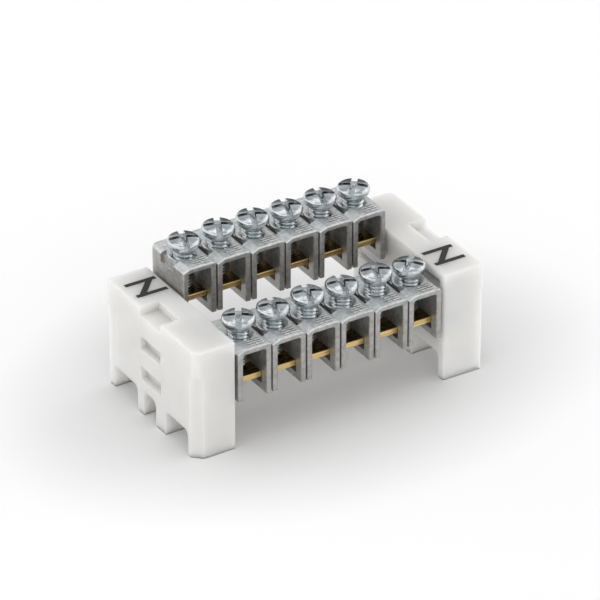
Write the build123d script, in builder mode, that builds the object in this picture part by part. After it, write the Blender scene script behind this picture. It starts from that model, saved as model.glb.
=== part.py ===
"""Two-tier neutral terminal bar: two moulded end holders, two brass bars and twelve screw clamps.

Millimetres.  The origin is the centre of the footprint on the ground, +X runs along the bars,
-Y is the front and +Z is up.
"""

import os

from build123d import *

# Ways: the clamps of one row stand side by side on one bar.
way_count = 6
clamp_gap = 0.3
end_space = 0.54

# End holder: the lower bar sits at the front, the upper bar one step higher at the back.
holder_width = 10.6
holder_depth = 39.1
holder_height = 27.8
holder_corner = 0.6
holder_front_corner = 1.6
holder_rim = 0.5
cap_height = 6.6
row_rise = 8.95

# Feet of the holder: front and back edges of the three tunnels under it.
tunnel_spans = ((3.2, 13.1), (17.4, 22.9), (25.5, 36.9))
tunnel_rise = 6.4
tunnel_corner = 1.6
rear_foot_bevel_run = 1.6
rear_foot_bevel_rise = 2.0

# Outer face of the holder below its cap.
front_corner_flat = 2.2
rear_rebate_width = 4.0
rear_rebate_depth = 0.5
skirt_depth = 1.5
skirt_front_rise = 13.1
skirt_leg_rise = 4.8

# Column of three ledged pockets in the outer face of the holder.
ledge_front = 15.0
ledge_back = 24.2
ledge_pocket_height = 3.5
ledge_pocket_depth = 1.8
ledge_levels = (9.0, 17.0)
top_notch_drop = 2.2
top_notch_depth = 5.0

# Bars: flat brass strip, its ends held in pockets of the holders.
bar_width = 10.6
bar_thickness = 1.5
bar_edge = 0.15
bar_seat = 5.0
bar_set_back = 2.35
bar_play = 0.12
bar_cover = 2.35

# Cage clamp: a die-cast arch that hangs on the bar by a closed slot in each leg.
clamp_width = 8.7
clamp_depth = 15.3
clamp_wall = 1.35
clamp_roof = 1.25
clamp_back_corner = 2.0
clamp_top_corner = 0.85
clamp_front_edge = 0.35
mouth_corner = 0.7
wire_height = 7.0
slot_height = 3.1
slot_play = 0.15
web_height = 1.6
facet_width = 1.9
facet_drop = 0.9
boss_radius = 3.6
boss_drop = 1.9
screw_set_back = 7.2
countersink_radius = 3.4
countersink_angle = 90

# Left shoulder of the clamp: cut down beside a round collar at the screw.
collar_radius = 3.9
recess_front = 4.6
recess_back = 10.2
recess_drop = 0.8
recess_wall_depth = 0.65
recess_wall_drop = 2.5

# Clamping screw: machine screw with a slot and a cross in its head.
screw_radius = 2.45
screw_play = 0.05
screw_length = 9.3
screw_tip_chamfer = 0.45
head_radius = 3.85
head_foot_radius = 2.75
head_height = 3.1
head_rim_level = 2.1
head_shoulder_radius = 3.2
head_shoulder_level = 2.78
head_rim_bulge = 0.14
head_side_bulge = 0.3
head_slot_width = 1.1
head_slot_depth = 1.45
cross_reach = 2.3
cross_width = 1.0
cross_depth = 2.0

# Screws as they stand: gap from tip to bar, and turn of the head slot from +X in degrees.
front_tip_gaps = (0.93, 0.85, 1.45, 1.13, 1.66, 0.62)
rear_tip_gaps = (0.13, 0.82, 0.73, 0.41, 0.63, 0.34)
front_turns = (60, 72, 72, 74, 69, 45)
rear_turns = (72, 66, 70, 74, 74, 51)

# Places that follow from the sizes above.
way_pitch = clamp_width + clamp_gap
inner_half = way_count * way_pitch / 2 + end_space
outer_half = inner_half + holder_width
half_depth = holder_depth / 2
cap_underside = holder_height - cap_height
top_notch_level = holder_height - top_notch_drop
leg_front = tunnel_spans[0][1]
leg_back, rear_foot_front = tunnel_spans[2]
rear_bar_top = holder_height - bar_cover
front_bar_top = rear_bar_top - row_rise
row_step = holder_depth - clamp_depth
bar_length = 2 * (inner_half + bar_seat)
clamp_bottom = -slot_height - web_height
clamp_top = wire_height + clamp_roof
mouth_width = clamp_width - 2 * clamp_wall
slot_length = bar_width + 2 * slot_play
slot_set_back = bar_set_back - slot_play
screw_hole_radius = screw_radius + screw_play

row_fronts = {"front": -half_depth, "rear": -half_depth + row_step}
row_bar_tops = {"front": front_bar_top, "rear": rear_bar_top}
row_tip_gaps = {"front": front_tip_gaps, "rear": rear_tip_gaps}
row_turns = {"front": front_turns, "rear": rear_turns}

os.makedirs("parts", exist_ok=True)


def place(form, label, x, y, z, turn=0):
    """Write one placed copy of a form as its own named piece."""
    with BuildPart() as piece:
        with Locations(Location((x, y, z), (0, 0, turn))):
            add(form.part)
    piece.part.label = label
    export_step(piece.part, f"parts/{label}.step")


# Holder form: x runs from the outer face inwards, y from the front edge, z from the ground.
with BuildPart() as holder:
    Box(holder_width, holder_depth, holder_height, align=(Align.MIN, Align.MIN, Align.MIN))
    front_outer_foot = (0, 0, 0)
    upright_edges = holder.edges().filter_by(Axis.Z).sort_by_distance(front_outer_foot)
    fillet(upright_edges[1:], holder_corner)
    upright_edges = holder.edges().filter_by(Axis.Z).sort_by_distance(front_outer_foot)
    fillet(upright_edges[0], holder_front_corner)
    fillet(holder.faces().sort_by(Axis.Z)[-1].edges(), holder_rim)
    # Tunnels that leave four feet.
    for span_front, span_back in tunnel_spans:
        with BuildSketch(Plane.YZ) as tunnel:
            with Locations((span_front, 0)):
                Rectangle(span_back - span_front, tunnel_rise, align=(Align.MIN, Align.MIN))
            fillet(tunnel.vertices().group_by(Axis.Y)[-1], tunnel_corner)
        extrude(amount=holder_width, mode=Mode.SUBTRACT)
    # The rear foot is bevelled towards its tunnel.
    with BuildSketch(Plane.YZ) as foot_bevel:
        with BuildLine(Plane.YZ):
            Polyline(
                (rear_foot_front, 0),
                (rear_foot_front + rear_foot_bevel_run, 0),
                (rear_foot_front, rear_foot_bevel_rise),
                close=True,
            )
        make_face()
    extrude(amount=holder_width, mode=Mode.SUBTRACT)
    # The outer face steps in over the front foot and tunnel, and over the two middle legs.
    with BuildSketch(Plane.YZ) as skirt:
        with BuildLine(Plane.YZ):
            Polyline(
                (0, 0),
                (leg_back, 0),
                (leg_back, skirt_leg_rise),
                (leg_front, skirt_leg_rise),
                (leg_front, skirt_front_rise),
                (0, skirt_front_rise),
                close=True,
            )
        make_face()
    extrude(amount=skirt_depth, mode=Mode.SUBTRACT)
    # Under the cap the front outer corner is cut flat and the rear outer corner steps in.
    with BuildSketch() as corner_flat:
        with BuildLine():
            Polyline((0, 0), (front_corner_flat, 0), (0, front_corner_flat), close=True)
        make_face()
    extrude(amount=cap_underside, mode=Mode.SUBTRACT)
    with Locations((0, holder_depth, 0)):
        Box(
            rear_rebate_depth,
            rear_rebate_width,
            cap_underside,
            align=(Align.MIN, Align.MAX, Align.MIN),
            mode=Mode.SUBTRACT,
        )
    # Ledged pockets up the middle of the outer face, the top one open upwards.
    with Locations([(0, ledge_front, level) for level in ledge_levels]):
        Box(
            ledge_pocket_depth,
            ledge_back - ledge_front,
            ledge_pocket_height,
            align=(Align.MIN, Align.MIN, Align.MIN),
            mode=Mode.SUBTRACT,
        )
    with Locations((0, ledge_front, top_notch_level)):
        Box(
            top_notch_depth,
            ledge_back - ledge_front,
            holder_height - top_notch_level,
            align=(Align.MIN, Align.MIN, Align.MIN),
            mode=Mode.SUBTRACT,
        )
    # Bar pockets at both levels, front and back, so one moulding serves both ends.
    pocket_fronts = (bar_set_back, row_step + bar_set_back)
    pocket_places = [
        (holder_width, front - bar_play, top + bar_play)
        for front in pocket_fronts
        for top in (front_bar_top, rear_bar_top)
    ]
    with Locations(pocket_places):
        Box(
            bar_seat + bar_play,
            bar_width + 2 * bar_play,
            bar_thickness + 2 * bar_play,
            align=(Align.MAX, Align.MIN, Align.MAX),
            mode=Mode.SUBTRACT,
        )

# Bar form: middle of its length, front edge and top face at the origin.
with BuildPart() as bar:
    Box(bar_length, bar_width, bar_thickness, align=(Align.CENTER, Align.MIN, Align.MAX))
    chamfer(bar.edges().filter_by(Axis.X), bar_edge)

# Clamp form: x across, y from its front face, z from the top face of the bar.
with BuildPart() as clamp:
    with BuildSketch(Plane.XY.offset(clamp_bottom)) as footprint:
        Rectangle(clamp_width, clamp_depth, align=(Align.CENTER, Align.MIN))
        fillet(footprint.vertices().group_by(Axis.Y)[-1], clamp_back_corner)
    extrude(amount=clamp_top - clamp_bottom)
    roof_rim = clamp.faces().sort_by(Axis.Z)[-1].edges()
    fillet(roof_rim.sort_by(Axis.Y)[1:], clamp_top_corner)
    # Wire mouth from front to back, open downwards.
    with BuildSketch(Plane.XZ) as mouth:
        with Locations((0, clamp_bottom)):
            Rectangle(mouth_width, wire_height - clamp_bottom, align=(Align.CENTER, Align.MIN))
        fillet(mouth.vertices().group_by(Axis.Y)[-1], mouth_corner)
    extrude(amount=-clamp_depth, mode=Mode.SUBTRACT)
    # Facet on the left shoulder, from the front face to the recess behind it.
    with BuildSketch(Plane.XZ) as facet:
        with BuildLine(Plane.XZ):
            Polyline(
                (-clamp_width / 2, clamp_top),
                (-clamp_width / 2, clamp_top - facet_drop),
                (-clamp_width / 2 + facet_width, clamp_top),
                close=True,
            )
        make_face()
    extrude(amount=-recess_front, mode=Mode.SUBTRACT)
    front_face = clamp.faces().sort_by(Axis.Y)[0]
    front_edges = front_face.edges()
    fillet(
        front_edges.filter_by(lambda edge: edge.center().Z > clamp_bottom + web_height),
        clamp_front_edge,
    )
    # Recess beside the collar: a shallow step in the shoulder and a deeper one down the wall.
    for step_width, step_drop in ((clamp_width / 2, recess_drop), (recess_wall_depth, recess_wall_drop)):
        with BuildSketch(Plane.XY.offset(clamp_top)) as step:
            with Locations((-clamp_width / 2, recess_front)):
                Rectangle(step_width, recess_back - recess_front, align=(Align.MIN, Align.MIN))
            with Locations((0, screw_set_back)):
                Circle(collar_radius, mode=Mode.SUBTRACT)
        extrude(amount=-step_drop, mode=Mode.SUBTRACT)
    # Threaded boss under the roof, and the countersunk hole for the screw.
    with Locations((0, screw_set_back, wire_height - boss_drop)):
        Cylinder(boss_radius, boss_drop, align=(Align.CENTER, Align.CENTER, Align.MIN))
    with Locations((0, screw_set_back, clamp_top)):
        CounterSinkHole(
            screw_hole_radius,
            countersink_radius,
            clamp_roof + boss_drop,
            countersink_angle,
        )
    # Closed slots for the bar, through both legs.
    with Locations((0, slot_set_back, 0)):
        Box(
            clamp_width,
            slot_length,
            slot_height,
            align=(Align.CENTER, Align.MIN, Align.MAX),
            mode=Mode.SUBTRACT,
        )

# Screw form: the underside of its head lies at the origin.
with BuildPart() as screw:
    foot = (head_foot_radius, 0)
    rim = (head_radius, head_rim_level)
    shoulder = (head_shoulder_radius, head_shoulder_level)
    dome_rise = head_height - head_shoulder_level
    head_slot_run = 2 * (head_radius + head_side_bulge)
    with BuildSketch(Plane.XZ) as head_side:
        with BuildLine(Plane.XZ):
            Polyline((0, head_height), (0, 0), foot)
            SagittaArc(foot, rim, -head_side_bulge)
            SagittaArc(rim, shoulder, -head_rim_bulge)
            ThreePointArc(
                shoulder,
                (head_shoulder_radius / 2, head_height - dome_rise / 4),
                (0, head_height),
            )
        make_face()
    revolve(axis=Axis.Z)
    with Locations((0, 0, -screw_length)):
        Cylinder(
            screw_radius, screw_length, align=(Align.CENTER, Align.CENTER, Align.MIN)
        )
    chamfer(screw.faces().sort_by(Axis.Z)[0].edges(), screw_tip_chamfer)
    # Slot across the head, and a cross in its middle.
    with BuildSketch(Plane.XY.offset(head_height)) as head_slot:
        Rectangle(head_slot_run, head_slot_width)
    extrude(amount=-head_slot_depth, mode=Mode.SUBTRACT)
    with BuildSketch(Plane.XY.offset(head_height)) as cross:
        Rectangle(2 * cross_reach, cross_width)
        Rectangle(cross_width, 2 * cross_reach)
    extrude(amount=-cross_depth, mode=Mode.SUBTRACT)

# One file for each physical piece, where it stands in the assembly.
place(holder, "holder_left", -outer_half, -half_depth, 0)
place(holder, "holder_right", outer_half, half_depth, 0, 180)
for row, row_front in row_fronts.items():
    bar_top = row_bar_tops[row]
    place(bar, f"bar_{row}", 0, row_front + bar_set_back, bar_top)
    for way in range(way_count):
        way_x = (way - (way_count - 1) / 2) * way_pitch
        place(clamp, f"clamp_{row}_{way + 1}", way_x, row_front, bar_top)
        head_foot = bar_top + row_tip_gaps[row][way] + screw_length
        place(
            screw,
            f"screw_{row}_{way + 1}",
            way_x,
            row_front + screw_set_back,
            head_foot,
            row_turns[row][way],
        )
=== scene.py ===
import math

import bmesh
import bpy
from mathutils import Matrix, Vector


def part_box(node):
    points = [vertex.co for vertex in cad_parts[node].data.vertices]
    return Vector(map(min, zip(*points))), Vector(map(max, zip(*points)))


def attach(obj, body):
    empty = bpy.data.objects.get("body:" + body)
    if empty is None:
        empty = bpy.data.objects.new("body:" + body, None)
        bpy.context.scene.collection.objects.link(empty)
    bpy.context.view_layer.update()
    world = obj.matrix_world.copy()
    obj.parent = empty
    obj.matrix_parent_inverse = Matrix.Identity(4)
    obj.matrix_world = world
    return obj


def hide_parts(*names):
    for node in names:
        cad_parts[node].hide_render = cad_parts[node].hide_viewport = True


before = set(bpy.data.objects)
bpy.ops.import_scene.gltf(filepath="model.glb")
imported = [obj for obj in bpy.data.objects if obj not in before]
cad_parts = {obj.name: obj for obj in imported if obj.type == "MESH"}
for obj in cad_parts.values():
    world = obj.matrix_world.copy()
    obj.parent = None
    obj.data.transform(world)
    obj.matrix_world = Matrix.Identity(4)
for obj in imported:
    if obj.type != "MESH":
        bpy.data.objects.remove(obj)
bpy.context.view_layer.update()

# A two-tier neutral terminal bar, dressed over its CAD frame.  Lengths are in metres, +X runs along
# the bars, -Y is the front and +Z is up.
MM = 0.001

# The object: its names, and sizes of its CAD that the new pieces need.
ROWS = ("front", "rear")
WAYS = range(1, 7)
HOLDERS = ("holder_left", "holder_right")
SCREW_RADIUS = 2.45 * MM
TIP_CHAMFER = 0.45 * MM
HEAD_HEIGHT = 3.1 * MM
# The slot and cross take the middle of the dome, so the head's box ends this much under its height.
HEAD_DOME_LOSS = 0.0175 * MM

# Turn of each screw's slot from +X in degrees, way by way.
HEAD_TURNS = {"front": (60, 72, 72, 74, 69, 45), "rear": (72, 66, 70, 74, 74, 51)}
# Slot and cross of a screw head: width, reach from the middle and depth from the top.
HEAD_SLOT = (1.45 * MM, 4.5 * MM, 1.45 * MM)
HEAD_CROSS = (1.1 * MM, 3.35 * MM, 1.3 * MM)
# Rod that the head keeps under it, and the length of thread inside the head.
HEAD_STUB = 0.05 * MM
THREAD_SINK = 0.2 * MM

# Thread of the screws.
THREAD_PITCH = 0.8 * MM
THREAD_DEPTH = 0.42 * MM
THREAD_SIDES = 40
# One pitch of the thread's section: (part of the pitch, part of the depth).
THREAD_SECTION = ((0.0, 0.0), (0.12, 0.0), (0.44, 0.9), (0.5, 1.0), (0.62, 1.0), (0.68, 0.9))

# Rows of short raised ribs on a clamp's roof, in mm: how far the row stands behind the clamp's
# front face, and where each rib starts and ends along X from the clamp's middle.
RIB_ROWS = (
    (0.9, ((-0.6, 0.5), (0.9, 3.1))),
    (1.75, ((-0.8, 1.3), (1.7, 3.0))),
    (2.6, ((-0.5, 0.9), (1.3, 2.9))),
    (3.45, ((0.9, 3.0),)),
)
RIB_WIDTH = 0.45
RIB_HEIGHT = 0.3

# The printed N, in mm from the holder's outer front corner.  Its two straight strokes run along X.
MARK_START = 1.78
MARK_END = 9.7
MARK_BACK = 33.75
MARK_FRONT = 28.35
MARK_STROKE = 1.2
MARK_SLANT = 1.9
# Ink above and below the surface, and the step in height from one stroke to the next.
MARK_FILM = 0.015
MARK_STEP = 0.001

# Rounding of the edges, and the angles from which a corner is rounded or shaded as sharp.
HOLDER_EDGE = 0.25 * MM
BAR_EDGE = 0.08 * MM
CLAMP_EDGE = 0.2 * MM
HEAD_EDGE = 0.22 * MM
RIB_EDGE = 0.08 * MM
FINE_SEGMENTS = 3
EDGE_ANGLE = math.radians(40)
SHARP_ANGLE = math.radians(38)

# Points closer than this are one point, in a CAD mesh and in a thread.
WELD_REACH = 0.002 * MM
THREAD_WELD_REACH = 0.0005 * MM

# Colours, as red, green and blue: each surface varies from its first colour to its second.
PLASTIC = ((0.645, 0.64, 0.622), (0.69, 0.686, 0.673))
# Brass: painted shade over the bar, and a painted highlight along its two cut edges.
BRASS_PAINTED_SHADE = ((0.14, 0.09, 0.03), (0.3, 0.2, 0.07))
BRASS_PAINTED_HIGHLIGHT = ((0.52, 0.35, 0.12), (0.86, 0.67, 0.33))
# Zinc: painted shade on sides and legs, and painted light on faces that point up near the roofs.
ZINC_PAINTED_SHADE = ((0.32, 0.316, 0.305), (0.45, 0.445, 0.43))
ZINC_PAINTED_LIGHT = ((0.57, 0.588, 0.593), (0.78, 0.798, 0.798))
STEEL = ((0.42, 0.455, 0.47), (0.64, 0.675, 0.69))
INK = ((0.010, 0.008, 0.008), (0.022, 0.018, 0.018))
# The floor's grey is painted shadow round the object, and its white is the open floor.
FLOOR_SHADOW_AND_WHITE = ((0.78, 0.78, 0.78), (0.95, 0.95, 0.95))

# A painted highlight brightens a bar between the first two distances from its cut edges, and
# painted light pales a clamp's upward faces between the second two distances below the front row's
# roofs.
BRASS_HIGHLIGHT_SPAN = (0.5 * MM, 0.1 * MM)
ZINC_LIGHT_SPAN = (3 * MM, 1 * MM)

# The floor: its side, and the half lengths along X and Y of the painted soft shadow under the
# object.
FLOOR_SIZE = 6.0
FLOOR_SHADOW_PATCH = (62 * MM, 45 * MM)

# The studio round the object: its full strength, and its share of that by height.
SKY_STRENGTH = 1.86
SKY = ((0.0, 0.65), (0.1, 0.72), (0.26, 0.72), (0.38, 0.5), (0.5, 0.38), (0.75, 0.26), (1.0, 0.4))
# Soft cards in the studio: the direction of the card's middle, the cosines of the angles from it
# where the card begins and is full, and its share of the full strength.
CARDS = (
    ((1.0, -0.1, 0.3), 0.62, 0.85, 0.74),
    ((-1.0, 0.2, 0.2), 0.62, 0.85, 0.78),
    ((0.5, 0.8, 0.05), 0.9, 0.96, 0.08),
    ((0.30, 0.50, 0.80), 0.985, 0.996, 1.0),
    ((-0.3, -0.9, 0.45), 0.75, 0.95, 0.7),
)

# The one lamp: its place and side in metres, and its power in watts.
LAMP_PLACE = (-0.15, 0.2, 0.9)
LAMP_SIZE = 0.6
LAMP_POWER = 1.0

# The camera, fitted to the photograph: its direction and distance from the point it looks at, how
# far it sees, that point, and its lens and film width in mm.
VIEW_AZIMUTH = math.radians(31.55)
VIEW_ELEVATION = math.radians(30.85)
VIEW_DISTANCE = 1129.8 * MM
VIEW_END = 20.0
AIM = Vector((-6.5, -12.5, 28.5)) * MM
LENS = 303.1
SENSOR = 36.0


# Nodes of the materials and the studio.


class Nodes:
    """The nodes of a material or a world, and short ways to add and join them."""

    def __init__(self, owner):
        owner.use_nodes = True
        self.tree = owner.node_tree
        self.tree.nodes.clear()

    def add(self, kind, **settings):
        """Add a node and set its own options."""
        node = self.tree.nodes.new(kind)
        for key, value in settings.items():
            setattr(node, key, value)
        return node

    def give(self, socket, term):
        """Set an input to a value, or join the output of another node to it."""
        if isinstance(term, bpy.types.NodeSocket):
            self.tree.links.new(term, socket)
        else:
            socket.default_value = term

    def feed(self, node, **terms):
        """Give inputs by their names, with _ for a space."""
        for name, term in terms.items():
            self.give(node.inputs[name.replace("_", " ")], term)

    def part(self, vector, axis):
        """One coordinate of a vector."""
        split = self.add("ShaderNodeSeparateXYZ")
        self.feed(split, Vector=vector)
        return split.outputs[axis]

    def work_out(self, operation, *terms):
        """A number worked out from numbers."""
        node = self.add("ShaderNodeMath", operation=operation)
        for socket, term in zip(node.inputs, terms):
            self.give(socket, term)
        return node.outputs["Value"]

    def measure(self, operation, *vectors):
        """A number worked out from vectors."""
        node = self.add("ShaderNodeVectorMath", operation=operation)
        for socket, vector in zip(node.inputs, vectors):
            self.give(socket, vector)
        return node.outputs["Value"]

    def rise(self, value, start, end):
        """A factor that goes softly from 0 to 1 as a value goes from start to end."""
        rise = self.add("ShaderNodeMapRange", interpolation_type="SMOOTHSTEP")
        self.feed(rise, Value=value, From_Min=start, From_Max=end)
        return rise.outputs["Result"]

    def spread(self, factor, low, high):
        """A factor from 0 to 1 mapped to a range of values."""
        spread = self.add("ShaderNodeMapRange")
        self.feed(spread, Value=factor, To_Min=low, To_Max=high)
        return spread.outputs["Result"]

    def ramp(self, factor, stops):
        """Colours along a factor: stops are (position, (red, green, blue))."""
        ramp = self.add("ShaderNodeValToRGB")
        elements = ramp.color_ramp.elements
        while len(elements) < len(stops):
            elements.new(position=0.5)
        for element, (position, colour) in zip(elements, stops):
            element.position = position
            element.color = (*colour, 1)
        self.feed(ramp, Fac=factor)
        return ramp.outputs["Color"]

    def vary(self, factor, colours, low=0.3, high=0.7):
        """The first of two colours where a factor is low and the second where it is high."""
        return self.ramp(factor, ((low, colours[0]), (high, colours[1])))

    def blend(self, factor, first, second):
        """The first colour where a factor is 0 and the second where it is 1."""
        mix = self.add("ShaderNodeMixRGB")
        self.feed(mix, Fac=factor, Color1=first, Color2=second)
        return mix.outputs["Color"]


class Shader(Nodes):
    """A material with one surface node."""

    def __init__(self, name):
        self.material = bpy.data.materials.new(name)
        super().__init__(self.material)
        output = self.add("ShaderNodeOutputMaterial")
        self.surface = self.add("ShaderNodeBsdfPrincipled")
        self.feed(output, Surface=self.surface.outputs["BSDF"])
        coordinates = self.add("ShaderNodeTexCoord")
        self.place = coordinates.outputs["Object"]
        self.facing = coordinates.outputs["Normal"]

    def coat(self, **terms):
        """Give inputs of the surface by their names, with _ for a space."""
        self.feed(self.surface, **terms)

    def noise(self, scale, detail=3.0, stretch=(1, 1, 1)):
        """Noise in object space: scale is in features a metre."""
        mapping = self.add("ShaderNodeMapping")
        self.feed(mapping, Vector=self.place, Scale=stretch)
        noise = self.add("ShaderNodeTexNoise")
        self.feed(noise, Vector=mapping.outputs["Vector"], Scale=scale, Detail=detail)
        return noise.outputs["Fac"]

    def bump(self, factor, height, strength):
        """Small relief of the surface."""
        bump = self.add("ShaderNodeBump")
        self.feed(bump, Height=factor, Distance=height, Strength=strength)
        self.coat(Normal=bump.outputs["Normal"])


# Materials.


def holder_plastic():
    """Milky moulded nylon, a little see-through."""
    shader = Shader("holder_plastic")
    shader.coat(
        Base_Color=shader.vary(shader.noise(scale=90, detail=2), PLASTIC),
        Roughness=shader.spread(shader.noise(scale=1500), low=0.34, high=0.46),
        Subsurface_Weight=0.9,
        Subsurface_Scale=0.008,
        Subsurface_Radius=(1.0, 0.97, 0.92),
        IOR=1.45,
        Specular_IOR_Level=0.3,
    )
    shader.bump(shader.noise(scale=900), height=0.01 * MM, strength=0.4)
    return shader.material


def bar_brass(row):
    """Drawn brass strip with faint lines along X: painted shade, and a painted highlight at its cut
    edges.
    """
    shader = Shader(f"bar_brass_{row}")
    lines = shader.noise(scale=3000, detail=4, stretch=(0.02, 1, 1))
    low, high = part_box(f"bar_{row}")
    middle = (low[1] + high[1]) / 2
    half = (high[1] - low[1]) / 2
    span_start, span_end = BRASS_HIGHLIGHT_SPAN
    aside = shader.work_out("SUBTRACT", shader.part(shader.place, "Y"), middle)
    # Painted highlight near the two cut edges, painted shade on the rest of the bar.
    colour = shader.blend(
        shader.rise(shader.work_out("ABSOLUTE", aside), half - span_start, half - span_end),
        shader.vary(lines, BRASS_PAINTED_SHADE),
        shader.vary(lines, BRASS_PAINTED_HIGHLIGHT),
    )
    shader.coat(
        Base_Color=colour,
        Roughness=shader.spread(lines, low=0.2, high=0.36),
        Metallic=1.0,
    )
    shader.bump(lines, height=0.01 * MM, strength=0.5)
    return shader.material


def clamp_zinc():
    """Plated zinc casting, satin grey and slightly mottled: painted light on upward roof faces,
    painted shade elsewhere.
    """
    shader = Shader("clamp_zinc")
    mottle = shader.noise(scale=1100, detail=5)
    # The height is that of the front row: the roofs of the rear row stand above it.
    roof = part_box("clamp_front_1")[1][2]
    span_start, span_end = ZINC_LIGHT_SPAN
    upper = shader.rise(shader.part(shader.place, "Z"), roof - span_start, roof - span_end)
    level = shader.rise(shader.part(shader.facing, "Z"), start=0.3, end=0.85)
    # Painted light where a face near the top points up, painted shade on all other faces.
    colour = shader.blend(
        shader.work_out("MULTIPLY", upper, level),
        shader.vary(mottle, ZINC_PAINTED_SHADE, low=0.35, high=0.65),
        shader.vary(mottle, ZINC_PAINTED_LIGHT, low=0.35, high=0.65),
    )
    shader.coat(
        Base_Color=colour,
        Roughness=shader.spread(mottle, low=0.34, high=0.52),
        Metallic=0.75,
    )
    shader.bump(shader.noise(scale=1400, detail=4), height=0.05 * MM, strength=0.7)
    return shader.material


def screw_steel():
    """Bright zinc-plated steel."""
    shader = Shader("screw_steel")
    mottle = shader.noise(scale=700, detail=3)
    shader.coat(
        Base_Color=shader.vary(mottle, STEEL),
        Roughness=shader.spread(mottle, low=0.12, high=0.22),
        Metallic=1.0,
    )
    shader.bump(shader.noise(scale=800, detail=3), height=0.05 * MM, strength=0.7)
    return shader.material


def black_print():
    """Matt black marking ink."""
    shader = Shader("black_print")
    shader.coat(Base_Color=shader.vary(shader.noise(scale=2500), INK), Roughness=0.6)
    return shader.material


def floor_white():
    """White paper sweep, with a painted soft shadow in grey where the object stands."""
    shader = Shader("floor_white")
    half_x, half_y = FLOOR_SHADOW_PATCH
    shadow_patch = shader.add("ShaderNodeMapping")
    shader.feed(shadow_patch, Vector=shader.place, Scale=(1 / half_x, 1 / half_y, 0))
    reach = shader.measure("LENGTH", shadow_patch.outputs["Vector"])
    # Painted shadow: the floor is grey near the object and turns white further out.
    away = shader.rise(reach, start=0.7, end=1.4)
    clouds = shader.noise(scale=6, detail=2)
    cloud_share = 0.1
    tone = shader.work_out("MULTIPLY_ADD", clouds, cloud_share, away)
    shader.coat(
        Base_Color=shader.vary(tone, FLOOR_SHADOW_AND_WHITE, low=0.0, high=1.0),
        Roughness=0.9,
        Specular_IOR_Level=0.1,
    )
    return shader.material


# Meshes and pieces.


def new_piece(name, mesh_data, material, body):
    """Link a finished bmesh as an object that rides a CAD body."""
    mesh = bpy.data.meshes.new(name)
    mesh_data.to_mesh(mesh)
    mesh_data.free()
    mesh.shade_smooth()
    mesh.set_sharp_from_angle(angle=SHARP_ANGLE)
    mesh.materials.clear()
    mesh.materials.append(material)
    piece = bpy.data.objects.new(name, mesh)
    bpy.context.scene.collection.objects.link(piece)
    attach(piece, body)
    return piece


def soften(piece, width, segments=2):
    """Weld split corners, round the sharp edges and even out the shading."""
    weld = piece.modifiers.new("weld", "WELD")
    weld.merge_threshold = WELD_REACH
    bevel = piece.modifiers.new("edges", "BEVEL")
    bevel.width = width
    bevel.segments = segments
    bevel.limit_method = "ANGLE"
    bevel.angle_limit = EDGE_ANGLE
    bevel.harden_normals = False
    piece.modifiers.new("normals", "WEIGHTED_NORMAL").keep_sharp = True


def paint(node_name, material):
    """Give a CAD node its material."""
    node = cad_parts[node_name]
    node.data.materials.clear()
    node.data.materials.append(material)
    return node


def add_box(mesh_data, low, high):
    """Add a closed box between two corners to a bmesh."""
    size = [b - a for a, b in zip(low, high)]
    middle = [(a + b) / 2 for a, b in zip(low, high)]
    bmesh.ops.create_cube(
        mesh_data,
        size=1,
        matrix=Matrix.Translation(middle) @ Matrix.Diagonal((*size, 1)),
    )


def cut(mesh_data, level, keep_above):
    """Cut a closed bmesh at a height and close it again."""
    geometry = mesh_data.verts[:] + mesh_data.edges[:] + mesh_data.faces[:]
    bmesh.ops.bisect_plane(
        mesh_data,
        geom=geometry,
        plane_co=(0, 0, level),
        plane_no=(0, 0, 1),
        clear_inner=keep_above,
        clear_outer=not keep_above,
    )
    rim = [edge for edge in mesh_data.edges if edge.is_boundary]
    if rim:
        bmesh.ops.holes_fill(mesh_data, edges=rim, sides=0)


def carve(mesh_data, cutters):
    """Take closed bmeshes away from a bmesh and give back what is left."""
    solid = bpy.data.objects.new("solid", bpy.data.meshes.new("solid"))
    mesh_data.to_mesh(solid.data)
    mesh_data.free()
    bpy.context.scene.collection.objects.link(solid)
    tools = []
    for cutter in cutters:
        tool = bpy.data.objects.new("tool", bpy.data.meshes.new("tool"))
        cutter.to_mesh(tool.data)
        cutter.free()
        bpy.context.scene.collection.objects.link(tool)
        tools.append(tool)
        carving = solid.modifiers.new("carve", "BOOLEAN")
        carving.operation = "DIFFERENCE"
        carving.solver = "EXACT"
        carving.object = tool
    carved = solid.evaluated_get(bpy.context.evaluated_depsgraph_get())
    left = bmesh.new()
    left.from_mesh(carved.to_mesh())
    carved.to_mesh_clear()
    for helper in (solid, *tools):
        mesh = helper.data
        bpy.data.objects.remove(helper)
        bpy.data.meshes.remove(mesh)
    return left


# Screws.


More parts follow.
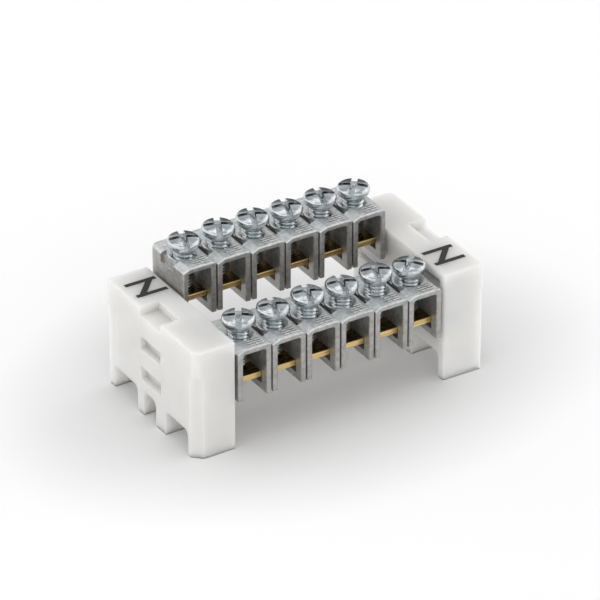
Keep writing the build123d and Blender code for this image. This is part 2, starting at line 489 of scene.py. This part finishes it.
def thread_mesh(axis_x, axis_y, tip, top):
    """Closed rod with a helical thread, from its tip up to a level inside the head."""
    rod = bmesh.new()
    section = THREAD_SECTION + ((1.0, 0.0),)
    # The helix starts one pitch above the top and ends at least one pitch below the tip.
    start = top + THREAD_PITCH
    turns = math.ceil((top - tip) / THREAD_PITCH) + 2
    columns = []
    for step in range(turns * THREAD_SIDES + 1):
        angle = math.tau * step / THREAD_SIDES
        column = []
        for share, depth in section:
            radius = SCREW_RADIUS - THREAD_DEPTH * depth
            x = axis_x + radius * math.cos(angle)
            y = axis_y + radius * math.sin(angle)
            level = start - THREAD_PITCH * (step / THREAD_SIDES + share)
            column.append(rod.verts.new((x, y, level)))
        columns.append(column)
    for left, right in zip(columns, columns[1:]):
        for upper in range(len(THREAD_SECTION)):
            rod.faces.new((left[upper], left[upper + 1], right[upper + 1], right[upper]))
    bmesh.ops.remove_doubles(rod, verts=rod.verts[:], dist=THREAD_WELD_REACH)
    cut(rod, top, keep_above=False)
    cut(rod, tip, keep_above=True)
    # Chamfer the tip at 45 degrees.
    for vert in rod.verts:
        limit = SCREW_RADIUS - TIP_CHAMFER + (vert.co.z - tip)
        offset = Vector((vert.co.x - axis_x, vert.co.y - axis_y))
        if offset.length > limit:
            offset *= limit / offset.length
            vert.co.x = axis_x + offset.x
            vert.co.y = axis_y + offset.y
    bmesh.ops.recalc_face_normals(rod, faces=rod.faces[:])
    return rod


def groove(axis_x, axis_y, top, turn, size):
    """A box that cuts one groove across a screw head."""
    width, reach, depth = size
    box = bmesh.new()
    add_box(box, (-reach, -width / 2, top - depth), (reach, width / 2, top + depth))
    bmesh.ops.transform(
        box,
        matrix=Matrix.Translation((axis_x, axis_y, 0)) @ Matrix.Rotation(turn, 4, "Z"),
        verts=box.verts[:],
    )
    return box


def dress_screw(row, way, material):
    """Stand a threaded screw in for the plain one, keeping the CAD head."""
    node_name = f"screw_{row}_{way}"
    body = f"{row}_{way}"
    low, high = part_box(node_name)
    axis_x = (low[0] + high[0]) / 2
    axis_y = (low[1] + high[1]) / 2
    head_foot = high[2] + HEAD_DOME_LOSS - HEAD_HEIGHT
    head_top = head_foot + HEAD_HEIGHT
    turn = math.radians(HEAD_TURNS[row][way - 1])
    head = bmesh.new()
    head.from_mesh(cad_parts[node_name].data)
    bmesh.ops.remove_doubles(head, verts=head.verts[:], dist=WELD_REACH)
    cut(head, head_foot - HEAD_STUB, keep_above=True)
    grooves = (
        groove(axis_x, axis_y, head_top, turn, HEAD_SLOT),
        groove(axis_x, axis_y, head_top, turn + math.pi / 2, HEAD_CROSS),
    )
    head = carve(head, grooves)
    head_piece = new_piece(f"{node_name}_head", head, material, body)
    soften(head_piece, HEAD_EDGE, FINE_SEGMENTS)
    rod = thread_mesh(axis_x, axis_y, low[2], head_foot + THREAD_SINK)
    rod_piece = new_piece(f"{node_name}_thread", rod, material, body)
    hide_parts(node_name)
    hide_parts(node_name)


# Clamps.


def dress_clamp(row, way, material):
    """Finish a clamp and set plain raised ribs on the front of its roof."""
    node_name = f"clamp_{row}_{way}"
    node = paint(node_name, material)
    soften(node, CLAMP_EDGE, FINE_SEGMENTS)
    low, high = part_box(node_name)
    middle = (low[0] + high[0]) / 2
    ribs = bmesh.new()
    for set_back, spans in RIB_ROWS:
        front = low[1] + set_back * MM
        for start, end in spans:
            add_box(
                ribs,
                (middle + start * MM, front, high[2] - RIB_HEIGHT * MM),
                (middle + end * MM, front + RIB_WIDTH * MM, high[2] + RIB_HEIGHT * MM),
            )
    piece = new_piece(f"{node_name}_ribs", ribs, material, "terminal_block")
    soften(piece, RIB_EDGE)


# Holders and their marks.


def straight_stroke(middle):
    """Corners of a stroke of the N that runs along X, its middle at a distance from the front."""
    front = middle - MARK_STROKE / 2
    back = middle + MARK_STROKE / 2
    return ((MARK_START, front), (MARK_END, front), (MARK_END, back), (MARK_START, back))


def slanted_stroke():
    """Corners of the stroke that joins the two straight ones."""
    front = MARK_FRONT - MARK_STROKE / 2
    back = MARK_BACK + MARK_STROKE / 2
    return (
        (MARK_START, front),
        (MARK_START + MARK_SLANT, front),
        (MARK_END, back),
        (MARK_END - MARK_SLANT, back),
    )


def add_stroke(mesh_data, points, level):
    """Add a thin flat stroke with the given corners."""
    lower = [mesh_data.verts.new((x, y, level - MARK_FILM * MM)) for x, y in points]
    upper = [mesh_data.verts.new((x, y, level + MARK_FILM * MM)) for x, y in points]
    mesh_data.faces.new(upper)
    mesh_data.faces.new(lower[::-1])
    count = len(points)
    for index in range(count):
        after = (index + 1) % count
        mesh_data.faces.new((lower[index], lower[after], upper[after], upper[index]))


def dress_holder(name, plastic, ink):
    """Finish a holder and print the N for neutral on its top."""
    node = paint(name, plastic)
    soften(node, HOLDER_EDGE, FINE_SEGMENTS)
    low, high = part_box(name)
    turned = name == "holder_right"

    def spot(x, y):
        """A place on the top, from the holder's outer front corner, in mm."""
        if turned:
            return high[0] - x * MM, high[1] - y * MM
        return low[0] + x * MM, low[1] + y * MM

    strokes = (straight_stroke(MARK_BACK), straight_stroke(MARK_FRONT), slanted_stroke())
    for index, stroke in enumerate(strokes):
        film = bmesh.new()
        add_stroke(film, [spot(x, y) for x, y in stroke], high[2] + index * MARK_STEP * MM)
        bmesh.ops.recalc_face_normals(film, faces=film.faces[:])
        new_piece(f"{name}_mark_{index + 1}", film, ink, "terminal_block")


# Floor, studio, lamp and camera.


def add_floor(material):
    """The floor that the object stands on."""
    bpy.ops.mesh.primitive_plane_add(size=FLOOR_SIZE, location=(0, 0, 0))
    floor = bpy.context.object
    floor.name = "floor"
    floor.data.materials.append(material)


def grey(level):
    """A neutral colour."""
    return (level, level, level)


def add_world():
    """White studio with a few soft dark and bright cards for the metal to show."""
    world = bpy.data.worlds.new("studio")
    bpy.context.scene.world = world
    nodes = Nodes(world)
    direction = nodes.add("ShaderNodeTexCoord").outputs["Generated"]
    sky_stops = [(position, grey(level)) for position, level in SKY]
    colour = nodes.ramp(nodes.part(direction, "Z"), sky_stops)
    for middle, begin, full, level in CARDS:
        nearness = nodes.measure("DOT_PRODUCT", direction, Vector(middle).normalized())
        colour = nodes.blend(nodes.rise(nearness, begin, full), colour, (*grey(level), 1))
    studio = nodes.add("ShaderNodeBackground")
    nodes.feed(studio, Color=colour, Strength=SKY_STRENGTH)
    output = nodes.add("ShaderNodeOutputWorld")
    nodes.feed(output, Surface=studio.outputs["Background"])


def add_lamp():
    """A square soft lamp that looks at the object."""
    data = bpy.data.lights.new("overhead", "AREA")
    data.shape = "SQUARE"
    data.size = LAMP_SIZE
    data.energy = LAMP_POWER
    lamp = bpy.data.objects.new("overhead", data)
    bpy.context.scene.collection.objects.link(lamp)
    lamp.location = LAMP_PLACE
    lamp.rotation_euler = (AIM - Vector(LAMP_PLACE)).to_track_quat("-Z", "Y").to_euler()


def add_camera():
    """The camera at the photograph's viewing angle."""
    data = bpy.data.cameras.new("camera")
    data.lens = LENS
    data.sensor_width = SENSOR
    data.clip_end = VIEW_END
    camera = bpy.data.objects.new("camera", data)
    bpy.context.scene.collection.objects.link(camera)
    outward = Vector(
        (
            -math.sin(VIEW_AZIMUTH) * math.cos(VIEW_ELEVATION),
            -math.cos(VIEW_AZIMUTH) * math.cos(VIEW_ELEVATION),
            math.sin(VIEW_ELEVATION),
        )
    )
    camera.location = AIM + VIEW_DISTANCE * outward
    camera.rotation_euler = (-outward).to_track_quat("-Z", "Y").to_euler()
    bpy.context.scene.camera = camera


# The scene.

plastic = holder_plastic()
zinc = clamp_zinc()
steel = screw_steel()
ink = black_print()

for holder_name in HOLDERS:
    dress_holder(holder_name, plastic, ink)
for row_name in ROWS:
    soften(paint(f"bar_{row_name}", bar_brass(row_name)), BAR_EDGE)
    for way_number in WAYS:
        dress_clamp(row_name, way_number, zinc)
        dress_screw(row_name, way_number, steel)

add_floor(floor_white())
add_world()
add_lamp()
add_camera()

scene = bpy.context.scene
scene.view_settings.view_transform = "Standard"
